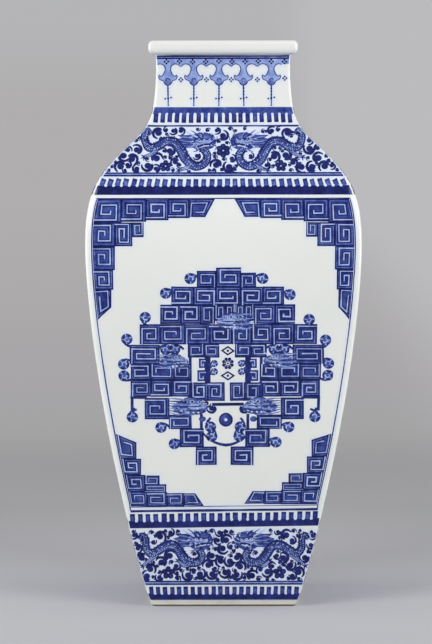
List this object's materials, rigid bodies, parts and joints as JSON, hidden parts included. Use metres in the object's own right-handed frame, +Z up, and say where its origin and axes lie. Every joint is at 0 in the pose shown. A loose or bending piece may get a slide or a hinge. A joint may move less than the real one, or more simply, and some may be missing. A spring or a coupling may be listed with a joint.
{
  "type": "baluster vase",
  "caption": "Square-section porcelain baluster vase: tapering slab-built body, curved shoulder, short neck and thick square mouth rim on a low foot rim.",
  "frame": {"origin": "centre of the square that the foot rim stands on, on the surface under the vase", "axes": "+Z up along the vase's axis; the front wall faces -Y and the right wall faces +X"},
  "size_m": [0.2156, 0.2156, 0.45],
  "materials": {
    "glazed_porcelain": "glossy clear glaze over greyish white porcelain",
    "rim_glaze": "glossy clear glaze, a little whiter than the body",
    "underglaze_blue": "cobalt blue painting under the same glossy glaze, washed lighter inside its outlines",
    "bare_foot": "matt biscuit porcelain, burnt brown at its lower edge",
    "bare_clay": "matt biscuit porcelain, not glazed"
  },
  "bodies": {
    "root": {"foot_rim": "bare_foot", "base_slab": "bare_clay", "body_wall_front": "glazed_porcelain", "body_wall_right": "glazed_porcelain", "body_wall_back": "glazed_porcelain", "body_wall_left": "glazed_porcelain", "luting_coil_front_right": "bare_clay", "luting_coil_back_right": "bare_clay", "luting_coil_back_left": "bare_clay", "luting_coil_front_left": "bare_clay", "shoulder_slab_front": "glazed_porcelain", "shoulder_slab_right": "glazed_porcelain", "shoulder_slab_back": "glazed_porcelain", "shoulder_slab_left": "glazed_porcelain", "neck_wall_front": "glazed_porcelain", "neck_wall_right": "glazed_porcelain", "neck_wall_back": "glazed_porcelain", "neck_wall_left": "glazed_porcelain", "mouth_rim": "rim_glaze"}
  },
  "joints": []
}
